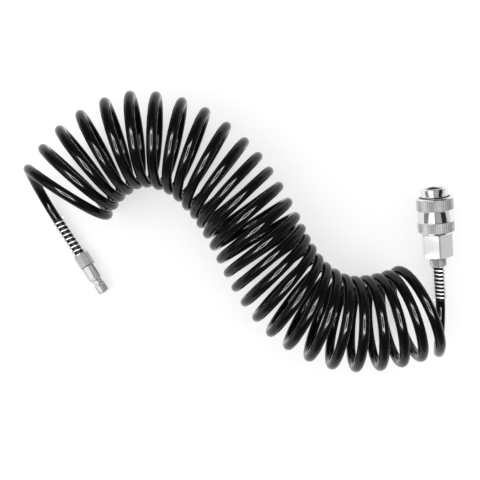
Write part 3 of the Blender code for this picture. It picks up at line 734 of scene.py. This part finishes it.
class AIRHOSE_OT_guards(Operator):
    """Wind the spring guards and the springs inside the socket"""

    bl_idname = "air_hose.guards"
    bl_label = "Spring Guards"

    def execute(self, context):
        sizes = context.scene.air_hose_guards
        wire = wire_finish()
        for name, node, body, axis, start, pitch in (
            ("plug_guard_coil", "plug_spring_guard", "plug_end", PLUG_AXIS, PLUG_GUARD_START,
             sizes.plug_pitch),
            ("socket_guard_coil", "socket_spring_guard", "socket_end", SOCKET_AXIS,
             SOCKET_GUARD_START, sizes.socket_pitch),
        ):
            end = start + sizes.curls * pitch
            guard = wound_wire(
                name, sizes.radius, sizes.wire, start, end, sizes.curls, axis, wire
            )
            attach(guard, body)
            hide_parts(node)
        for name, node, radius, thick, start, end, joint, travel in (
            ("sleeve_return_spring", "sleeve_spring", 12.0, 1.1, 17.65, 32.15, "sleeve_slide", 4.0),
            ("valve_return_spring", "valve_spring", 5.35, 0.9, 27.15, 35.75, "valve_travel", 5.0),
        ):
            spring = wound_wire(
                name, radius * MM, thick * MM, start * MM, end * MM, 4, SOCKET_AXIS, wire
            )
            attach(spring, "socket_end")
            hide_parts(node)
            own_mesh(spring)
        return {"FINISHED"}


CHAMFER = 0.5
THREAD_END = 4.0
THREAD_RADIUS = 5.8
NUT_BORE = 4.3
SEAT_DEPTH = 1.8
SEAT_RADIUS = 6.3


def nut_outline(start, end, radius, between):
    """A hose nut from its thread to its seat, with the outside's points between its chamfers."""
    return [
        (start, radius - CHAMFER),
        (start + CHAMFER, radius),
        *between,
        (end - CHAMFER, radius),
        (end, radius - CHAMFER / 2),
        (end, SEAT_RADIUS),
        (end - SEAT_DEPTH, SEAT_RADIUS),
        (end - SEAT_DEPTH, NUT_BORE),
        (start + THREAD_END, NUT_BORE),
        (start + THREAD_END, THREAD_RADIUS),
        (start, THREAD_RADIUS),
    ]


FLUTE_DEPTH = 0.20
FLUTE_SIDES = 4  # sides of the plug's nut to one flute
SLACK = 0.1  # mm, to pick points by
NUT_ROWS = 6
SLEEVE_ROWS = 5


class AIRHOSE_OT_nuts(Operator):
    """Turn the hose nuts: straight flutes on the plug's, diamonds on the socket's"""

    bl_idname = "air_hose.nuts"
    bl_label = "Hose Nuts"

    def execute(self, context):
        sizes = context.scene.air_hose_knurls
        flutes = sizes.flute_count
        radius, start, end = 6.75, 27.9, 40.2
        first, last = start + 0.9, end - 0.9
        outline = nut_outline(start, end, radius, [(first, radius), (last, radius)])
        nut = turn_ring("plug_nut_fluted", outline, flutes * FLUTE_SIDES)
        bpy.ops.object.mode_set(mode="EDIT")
        step = 2 * math.pi / (flutes * FLUTE_SIDES)

        def in_flute(point):
            side = round(math.atan2(point.y, point.x) / step)
            ring = -point.z / MM
            outer = math.hypot(point.x, point.y) > (radius - SLACK) * MM
            return outer and side % FLUTE_SIDES == 0 and first - SLACK < ring < last + SLACK

        select_points(nut, in_flute)
        share = 1 - FLUTE_DEPTH / radius
        bpy.ops.transform.resize(value=(share, share, 1), center_override=(0, 0, 0))
        bpy.ops.object.mode_set(mode="OBJECT")
        # Painted shade: both tones of the fluted nut are made darker by a share of 0.7.
        finish = knurl_finish("fluted_nickel", PLUG_AXIS, radius * MM, FLUTE_DEPTH * MM, 0.7)
        finish_piece(nut, PLUG_AXIS, finish, 14)
        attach(nut, "plug_end")
        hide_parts("plug_hose_nut")

        radius, start, end = 6.95, 60.3, 69.3
        first, last = start + 0.8, end - 0.8
        depth = sizes.depth / MM
        floor = radius - depth - 0.2
        plain = nickel_finish("socket_nut_nickel", SOCKET_AXIS, dull=0.08)
        outline = nut_outline(
            start, end, radius, [(first, radius), (first, floor), (last, floor), (last, radius)]
        )
        body = turned("socket_nut_core", outline, SOCKET_AXIS, plain, 72, 0.08)
        band = knurled_band(
            "socket_nut_diamonds", (radius - depth) * MM, first * MM, last * MM,
            sizes.nut_count, NUT_ROWS, sizes.depth, SOCKET_AXIS,
            knurl_finish("socket_nut_knurl", SOCKET_AXIS, radius * MM, sizes.depth),
            (floor - 0.05) * MM,
        )
        for piece in (body, band):
            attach(piece, "socket_end")
            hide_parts("socket_hose_nut")
        return {"FINISHED"}


def barb_outline(shoulder):
    """Threaded stub, then a barb with three ridges, in from the shoulder to the bore."""
    crest, root, bore, pitch = 5.5, 5.2, 1.4, 0.75
    stub = STUB_LENGTH / MM
    outline = [(shoulder, crest)]
    place = shoulder + 0.5
    while place < shoulder + stub - 0.4:
        outline += [(place, crest), (place + pitch / 3, root), (place + pitch * 2 / 3, crest)]
        place += pitch
    outline += [(shoulder + stub, crest)]
    ridge = 11.0 / 3
    for i in range(3):
        start = shoulder + stub + i * ridge
        outline += [(start + 0.01, 1.9), (start + 0.3 * ridge, 2.2), (start + ridge, 1.9)]
    return [*outline, (shoulder + stub + 3 * ridge, bore)]


class AIRHOSE_OT_plug(Operator):
    """Turn the quick plug"""

    bl_idname = "air_hose.plug"
    bl_label = "Quick Plug"

    def execute(self, context):
        shoulder = PLUG_SHOULDER / MM
        outline = [
            (0.0, 5.0), (0.12, 5.3), (0.5, 5.75), (1.1, 6.0),
            (7.45, 6.0), (7.8, 6.4),
            (9.0, 6.4), (9.3, 6.1), (9.6, 5.3), (9.9, 5.2),
            (12.9, 5.2), (13.2, 5.35), (13.5, 6.5),
            (14.7, 6.5), (14.75, 6.35), (15.0, 6.35), (15.05, 7.0),
            (15.2, 7.1),
            (27.1, 7.1), (27.6, 6.6),
            *barb_outline(shoulder),
            (23.7, 1.4), (20.0, 3.7), (0.5, 3.7), (0.0, 4.2),
        ]
        plug = turned(
            "plug_polished", outline, PLUG_AXIS, nickel_finish("plug_nickel", PLUG_AXIS), 96, 0.07
        )
        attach(plug, "plug_end")
        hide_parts("plug_body")
        return {"FINISHED"}


HEX_TURN = 16.5  # degrees from level to the first corner
HEX_ACROSS_FLATS = 24.0
BALL_PLACE = 12.6
BALL_RADIUS = 2.2
BALL_COUNT = 6
SOCKET_BORE = 6.9  # mm from the socket's axis, inside which the cage's faces get dark steel as painted shade in the bore


def round_pins(radius, inner, outer, place, first, sides=24):
    """Cutters that stand round the socket's axis, the first at an angle in degrees."""
    pins = []
    for i in range(BALL_COUNT):
        angle = math.radians(first) + 2 * math.pi * i / BALL_COUNT
        middle = (inner + outer) / 2 * MM
        start_fresh()
        bpy.ops.mesh.primitive_cylinder_add(
            vertices=sides,
            radius=radius * MM,
            depth=(outer - inner) * MM,
            location=(middle * math.cos(angle), middle * math.sin(angle), -place * MM),
            rotation=(0, math.pi / 2, angle),
        )
        pins.append(bpy.context.object)
    return pins


class AIRHOSE_OT_cage(Operator):
    """Turn the socket's cage, with its ball windows and the dimples of its nose"""

    bl_idname = "air_hose.cage"
    bl_label = "Socket Cage"

    def execute(self, context):
        outline = [
            (0.0, 10.2), (0.15, 10.7), (0.7, 11.1),
            (7.7, 11.1), (7.7, 10.5), (9.0, 10.5), (9.0, 11.1), (9.6, 11.1),
            (9.9, 9.8), (26.0, 9.8), (26.0, 8.9), (34.0, 8.9), (34.0, 7.4),
            (22.6, 7.4), (22.6, 5.2), (20.8, 5.2), (20.8, 6.2),
            (19.4, 6.2), (19.4, 8.0), (16.0, 8.0), (16.0, 6.2),
            (2.0, 6.2), (0.9, 7.0), (0.25, 8.0), (0.0, 8.4),
        ]
        cage = turn_ring("socket_cage_polished", outline, 96)
        soften_edges(cage, 0.10)
        cut_with(cage, round_pins(BALL_RADIUS + 0.3, 4.0, 12.0, BALL_PLACE, 0))
        cut_with(cage, round_pins(1.1, 10.2, 12.0, 5.2, 38, 20))
        finish_piece(cage, SOCKET_AXIS, nickel_finish("cage_nickel", SOCKET_AXIS))
        # Painted shade: the cage's faces in the bore get the dark steel finish.
        paint_faces(cage, SOCKET_AXIS, dark_steel_and_bore_shade_finish(), lambda away, place: away < SOCKET_BORE)
        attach(cage, "socket_end")
        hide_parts("socket_cage")
        return {"FINISHED"}


class AIRHOSE_OT_sleeve(Operator):
    """Turn the locking sleeve, with its two knurled bands"""

    bl_idname = "air_hose.sleeve"
    bl_label = "Locking Sleeve"

    def execute(self, context):
        sizes = context.scene.air_hose_knurls
        outer, waist, depth = 15.2, 14.7, sizes.depth / MM
        floor = outer - depth - 0.12
        front, rear = (8.9, 18.1), (28.7, 37.1)
        grooves = [
            [(start, outer), (start, floor), (end, floor), (end, outer)] for start, end in (front, rear)
        ]
        outline = [
            (7.6, 14.2), (7.75, 14.5), (8.5, outer), *grooves[0],
            (18.4, outer), (18.8, waist), (28.0, waist), (28.4, outer), *grooves[1],
            (37.4, outer), (38.9, 14.5), (39.0, 14.3), (39.0, 13.75), (34.3, 13.75),
            (34.3, 12.85), (16.8, 12.85), (16.8, 10.1), (12.3, 10.1), (10.9, 11.5),
            (9.0, 11.5), (9.0, 12.6), (7.8, 12.6), (7.6, 12.8),
        ]
        finish = nickel_finish("sleeve_nickel", SOCKET_AXIS)
        pieces = [turned("sleeve_core", outline, SOCKET_AXIS, finish, 120, 0.08)]
        knurl = knurl_finish("sleeve_knurl", SOCKET_AXIS, outer * MM, sizes.depth)
        for name, (start, end) in (
            ("sleeve_front_diamonds", front), ("sleeve_rear_diamonds", rear)
        ):
            pieces.append(
                knurled_band(
                    name, (outer - depth) * MM, start * MM, end * MM, sizes.sleeve_count,
                    SLEEVE_ROWS, sizes.depth, SOCKET_AXIS, knurl, floor * MM,
                )
            )
        for piece in pieces:
            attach(piece, "sleeve")
            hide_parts("locking_sleeve")
        return {"FINISHED"}


class AIRHOSE_OT_body(Operator):
    """Make the socket's body: hexagon, shoulder, stub and barb"""

    bl_idname = "air_hose.body"
    bl_label = "Socket Body"

    def execute(self, context):
        finish = nickel_finish("body_nickel", SOCKET_AXIS, dull=0.05)
        outline = [
            (39.0, 12.1), (39.9, 13.5), (59.1, 13.5), (60.0, 12.1), (60.0, 1.6), (39.0, 5.1),
        ]
        hexagon = turn_ring("socket_hexagon", outline, 144)
        start_fresh()
        bpy.ops.mesh.primitive_cylinder_add(
            vertices=6,
            radius=HEX_ACROSS_FLATS / 2 / math.cos(math.pi / 6) * MM,
            depth=24 * MM,  # past both ends of the blank
            location=(0, 0, -49.5 * MM),
            rotation=(0, 0, math.radians(HEX_TURN - 30)),
        )
        cut_with(hexagon, [bpy.context.object], "INTERSECT")
        soften_edges(hexagon, 0.18, 3, 24)
        finish_piece(hexagon, SOCKET_AXIS, finish, 6)
        shoulder = SOCKET_SHOULDER / MM
        outline = [
            (26.3, 10.3), (33.0, 10.3), (33.0, 12.55), (39.05, 12.55), (39.05, 5.1),
            (59.95, 5.1), *barb_outline(shoulder),
            (50.0, 1.4), (45.0, 5.0), (38.0, 5.0), (38.0, 6.9), (35.6, 6.9), (35.6, 9.2),
            (26.3, 9.2),
        ]
        core = turned("socket_body_core", outline, SOCKET_AXIS, finish, 72, 0.05)
        for piece in (hexagon, core):
            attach(piece, "socket_end")
            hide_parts("socket_body")
        return {"FINISHED"}


class AIRHOSE_OT_valve(Operator):
    """Turn the valve, the seals and the snap ring, and finish the locking balls"""

    bl_idname = "air_hose.valve"
    bl_label = "Valve and Seals"

    def execute(self, context):
        brass, rubber = brass_finish(SOCKET_AXIS), rubber_finish()
        dark = dark_steel_and_bore_shade_finish()
        poppet = [
            (18.6, 3.2), (18.75, 3.6), (19.1, 3.8), (23.9, 3.8), (23.9, 6.6), (26.4, 6.6),
            (26.4, 2.0), (30.6, 2.0), (30.9, 1.7),
        ]
        made = [
            (turned("poppet_turned", poppet, SOCKET_AXIS, brass, 64, 0.08, False),
             "valve", "valve_poppet", "brass"),
        ]
        for name, start, end, outer, inner, finish, body, node, slot in (
            ("poppet_face_seal", 22.9, 23.6, 6.6, 4.1, rubber, "valve", "poppet_seal",
             "seal_rubber"),
            ("packing_ring", 16.3, 19.1, 7.7, 6.05, rubber, "socket_end", "plug_packing_ring",
             "seal_rubber"),
            ("gasket_ring", 34.3, 35.3, 8.9, 7.4, rubber, "socket_end", "body_gasket",
             "seal_rubber"),
            ("spring_seat_ring", 36.5, 37.7, 6.6, 2.2, brass, "socket_end", "valve_spring_seat",
             "brass"),
            ("snap_ring", 8.0, 8.7, 12.3, 10.8, dark, "socket_end", "sleeve_snap_ring",
             "spring_steel"),
        ):
            outline = [(start, outer), (end, outer), (end, inner), (start, inner)]
            piece = turned(name, outline, SOCKET_AXIS, finish, 72, 0.12)
            made.append((piece, body, node, slot))
        for piece, body, node, slot in made:
            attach(piece, body)
            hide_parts(node)
        steel = nickel_finish("ball_steel", SOCKET_AXIS)
        for i in range(BALL_COUNT):
            ball = frame["nodes"][f"locking_ball_{i + 1}"]
            ball.data.materials.clear()
            ball.data.materials.append(steel)
        return {"FINISHED"}


FLOOR_DROP = 0.00005  # so that the floor and the flats under the turns don't share a plane
FLOOR_SHADE = (0.53, 0.53, 0.53)
FLOOR_LIFT = 0.58  # by which the floor is paler to the camera and in the plate
AMBIENT = 0.80
CAMERA_PLACE = (-0.0035, -0.007, 0.439)
CAMERA_LENS = 36.0  # mm, and the sensor's width

# place, size, radiance and target
KEY_SOFTBOX = ((-0.55, -0.15, 0.75), (0.70, 0.60), 1.3, (0, 0, 0.03))
# name, place and size of the bright panels that the hose mirrors
WINDOWS = (
    ("window_left", (-0.15, 0.0, 0.52), (0.07, 0.37)),
    ("window_right", (0.15, 0.0, 0.52), (0.07, 0.37)),
    ("window_back", (0.0, 0.15, 0.52), (0.23, 0.07)),
    ("window_front", (0.0, -0.15, 0.52), (0.23, 0.07)),
)
WINDOW_RADIANCE = 40.0
WIDE = (-0.6, 0.6)
# name, start and end in X and Z, reach in Y, radiance, and the pieces that mirror the card
CARDS = (
    ("card_low_left", (-1.10, 0.05), (-0.70, 0.28), WIDE, 0.45, "plate_side"),
    ("card_left", (-0.70, 0.28), (-0.12, 0.61), WIDE, 1.0, "plate_side"),
    ("card_middle", (-0.07, 0.60), (0.35, 0.60), WIDE, 0.42, "plate_side"),
    ("card_right", (0.71, 0.46), (0.71, 0.0), WIDE, 0.60, "plate_side"),
    ("card_by_hexagon", (0.140, 0.022), (0.130, 0.09), (-0.10, -0.006), 0.95, "plate_side"),
    ("card_by_sleeve", (0.140, 0.022), (0.130, 0.09), (-0.006, 0.07), 0.22, "plate_side"),
    ("card_wires", (-0.90, 0.60), (0.90, 0.60), (-1.2, 1.2), 2.2, "wire_side"),
)
PLUG_MIDDLE = 0.022
PLUG_CARD_AWAY = Vector((0.042, 0.028, 0.031))  # from the plug's middle


class AIRHOSE_OT_stage(Operator):
    """Set the pale floor, the lamps, the surroundings and the camera"""

    bl_idname = "air_hose.stage"
    bl_label = "Studio"

    def execute(self, context):
        scene = context.scene
        scene.view_settings.view_transform = "Standard"
        start_fresh()
        bpy.ops.mesh.primitive_plane_add(size=8.0, location=(0, 0, -FLOOR_DROP))
        floor = context.object
        floor.name = "studio_floor"
        floor.data.materials.append(floor_finish(scene.air_hose_colours.floor))
        surroundings(scene)
        lit = {
            name: bpy.data.collections.new(name)
            for name in ("hose_side", "plate_side", "wire_side")
        }
        for item in scene.objects:
            if item.type == "MESH":
                lit[lamp_side(item)].objects.link(item)
        key = add_lamp("key_softbox", *KEY_SOFTBOX)
        key.light_linking.receiver_collection = lit["hose_side"]
        for name, place, size in WINDOWS:
            lamp = add_lamp(name, place, size, WINDOW_RADIANCE, (place[0], place[1], 0.0))
            lamp.visible_diffuse = False
            lamp.light_linking.receiver_collection = lit["hose_side"]
        for name, start, end, reach, radiance, side in CARDS:
            lamp = add_card(name, start, end, reach, radiance)
            lamp.light_linking.receiver_collection = lit[side]
        plug = behind(PLUG_AXIS, PLUG_MIDDLE)
        lamp = add_lamp("card_by_plug", plug + PLUG_CARD_AWAY, (0.10, 0.036), 0.28, plug)
        lamp.light_linking.receiver_collection = lit["plate_side"]
        bpy.ops.object.camera_add(location=CAMERA_PLACE, rotation=(0, 0, 0))
        camera = context.object
        camera.data.lens = CAMERA_LENS
        camera.data.sensor_width = CAMERA_LENS
        camera.data.clip_start = 0.01
        scene.camera = camera
        return {"FINISHED"}


def is_plated(item):
    """Whether a piece's first material is a metal."""
    if not item.data.materials:
        return False
    material = item.data.materials[0]
    shader = material.node_tree.nodes.get("Principled BSDF") if material.use_nodes else None
    return bool(shader and shader.inputs["Metallic"].default_value > 0.5)


def lamp_side(item):
    """Whose lamps light a piece: the guards', the plate's, or the hose and floor's."""
    if item.name.endswith("guard_coil"):
        return "wire_side"
    return "plate_side" if is_plated(item) else "hose_side"


def add_card(name, start, end, reach, radiance):
    """A lit card from one place to another in X and Z, over a reach in Y. Its lit side is below
    or, on a card that stands up, on the right of the way from start to end."""
    place = ((start[0] + end[0]) / 2, sum(reach) / 2, (start[1] + end[1]) / 2)
    size = (math.hypot(end[0] - start[0], end[1] - start[1]), reach[1] - reach[0])
    lamp = add_lamp(name, place, size, radiance, (place[0], place[1], -1.0))
    lamp.rotation_euler = (0.0, math.atan2(start[1] - end[1], end[0] - start[0]), 0.0)
    return lamp


def add_lamp(name, place, size, radiance, target):
    """A rectangular lamp of a given radiance, which points at a target."""
    bpy.ops.object.light_add(type="AREA", location=place)
    lamp = bpy.context.object
    lamp.name = name
    lamp.data.shape = "RECTANGLE"
    lamp.data.size, lamp.data.size_y = size
    lamp.data.energy = radiance * math.pi * size[0] * size[1]
    way = Vector(target) - Vector(place)
    lamp.rotation_euler = way.to_track_quat("-Z", "Y").to_euler()
    lamp.visible_camera = False
    return lamp


def floor_finish(base):
    """A pale floor that looks white to the camera and in the plate, and keeps the shadows."""
    recipe = Recipe("studio_floor", base, 0.9, 0.0)
    recipe.shader.inputs["Specular IOR Level"].default_value = 0.0
    grain = recipe.between(recipe.noise(recipe.object_place(), 3.0), 0.97, 1.0)
    recipe.set("Base Color", recipe.mix_colour(grain, FLOOR_SHADE, base))
    rays = recipe.add("ShaderNodeLightPath")
    seen = recipe.add(
        "ShaderNodeMath",
        {0: rays.outputs["Is Camera Ray"], 1: rays.outputs["Is Glossy Ray"]},
        operation="MAXIMUM",
    )
    lift = recipe.add("ShaderNodeMath", {0: seen.outputs[0]}, operation="MULTIPLY")
    lift.inputs[1].default_value = FLOOR_LIFT
    glow = recipe.add("ShaderNodeEmission", {"Strength": lift.outputs[0]})
    both = recipe.add(
        "ShaderNodeAddShader", {0: recipe.shader.outputs[0], 1: glow.outputs[0]}
    )
    output = recipe.tree.nodes["Material Output"]
    recipe.tree.links.new(both.outputs[0], output.inputs["Surface"])
    return recipe.material


def surroundings(scene):
    """Even pale light, white to the camera, and a dark ceiling over a pale horizon in the gloss."""
    world = bpy.data.worlds.new("studio")
    scene.world = world
    world.use_nodes = True
    tree = world.node_tree
    tree.nodes.clear()

    def background(strength, tint=None):
        node = tree.nodes.new("ShaderNodeBackground")
        node.inputs["Color"].default_value = (1, 1, 1, 1)
        node.inputs["Strength"].default_value = strength
        if tint:
            tree.links.new(tint, node.inputs["Color"])
        return node.outputs[0]

    def choose(ray, otherwise, chosen):
        node = tree.nodes.new("ShaderNodeMixShader")
        for socket, source in zip(node.inputs, (rays.outputs[ray], otherwise, chosen)):
            tree.links.new(source, socket)
        return node.outputs[0]

    output = tree.nodes.new("ShaderNodeOutputWorld")
    rays = tree.nodes.new("ShaderNodeLightPath")
    place = tree.nodes.new("ShaderNodeTexCoord")
    split = tree.nodes.new("ShaderNodeSeparateXYZ")
    tree.links.new(place.outputs["Generated"], split.inputs[0])
    ramp = tree.nodes.new("ShaderNodeValToRGB")
    tree.links.new(split.outputs["Z"], ramp.inputs["Fac"])
    stops = ramp.color_ramp.elements
    stops[0].position, stops[0].color = 0.05, (0.32, 0.32, 0.32, 1)
    stops[1].position, stops[1].color = 0.60, (0.02, 0.02, 0.02, 1)
    gloss = background(1.0, ramp.outputs["Color"])
    lit = choose("Is Glossy Ray", background(AMBIENT), gloss)
    seen = choose("Is Camera Ray", lit, background(1.0))
    tree.links.new(seen, output.inputs["Surface"])


# ---------------------------------------------------------------- panel and registration

STEPS = (
    AIRHOSE_OT_guards,
    AIRHOSE_OT_nuts,
    AIRHOSE_OT_plug,
    AIRHOSE_OT_cage,
    AIRHOSE_OT_sleeve,
    AIRHOSE_OT_body,
    AIRHOSE_OT_valve,
    AIRHOSE_OT_hose,
    AIRHOSE_OT_stage,
)


class AIRHOSE_PT_panel(Panel):
    """Lists the steps and the sizes of the coiled air hose"""

    bl_idname = "AIRHOSE_PT_panel"
    bl_label = "Coiled Air Hose"
    bl_space_type = "VIEW_3D"
    bl_region_type = "UI"
    bl_category = "Air Hose"

    def draw(self, context):
        column = self.layout.column(align=True)
        for step in STEPS:
            column.operator(step.bl_idname)
        for group in GROUPS:
            settings = getattr(context.scene, group)
            for key in settings.bl_rna.properties.keys():
                if key not in {"rna_type", "name"}:
                    self.layout.prop(settings, key)


GROUPS = {
    "air_hose_tube": HoseSizes,
    "air_hose_guards": GuardSizes,
    "air_hose_knurls": KnurlSizes,
    "air_hose_colours": FinishColours,
}


def register():
    for item in (*GROUPS.values(), *STEPS, AIRHOSE_PT_panel):
        bpy.utils.register_class(item)
    for name, group in GROUPS.items():
        setattr(bpy.types.Scene, name, PointerProperty(type=group))


def unregister():
    for name in GROUPS:
        delattr(bpy.types.Scene, name)
    for item in reversed((*GROUPS.values(), *STEPS, AIRHOSE_PT_panel)):
        bpy.utils.unregister_class(item)


def main():
    register()
    for step in STEPS:
        group, name = step.bl_idname.split(".")
        getattr(getattr(bpy.ops, group), name)()


if __name__ == "__main__":
    main()
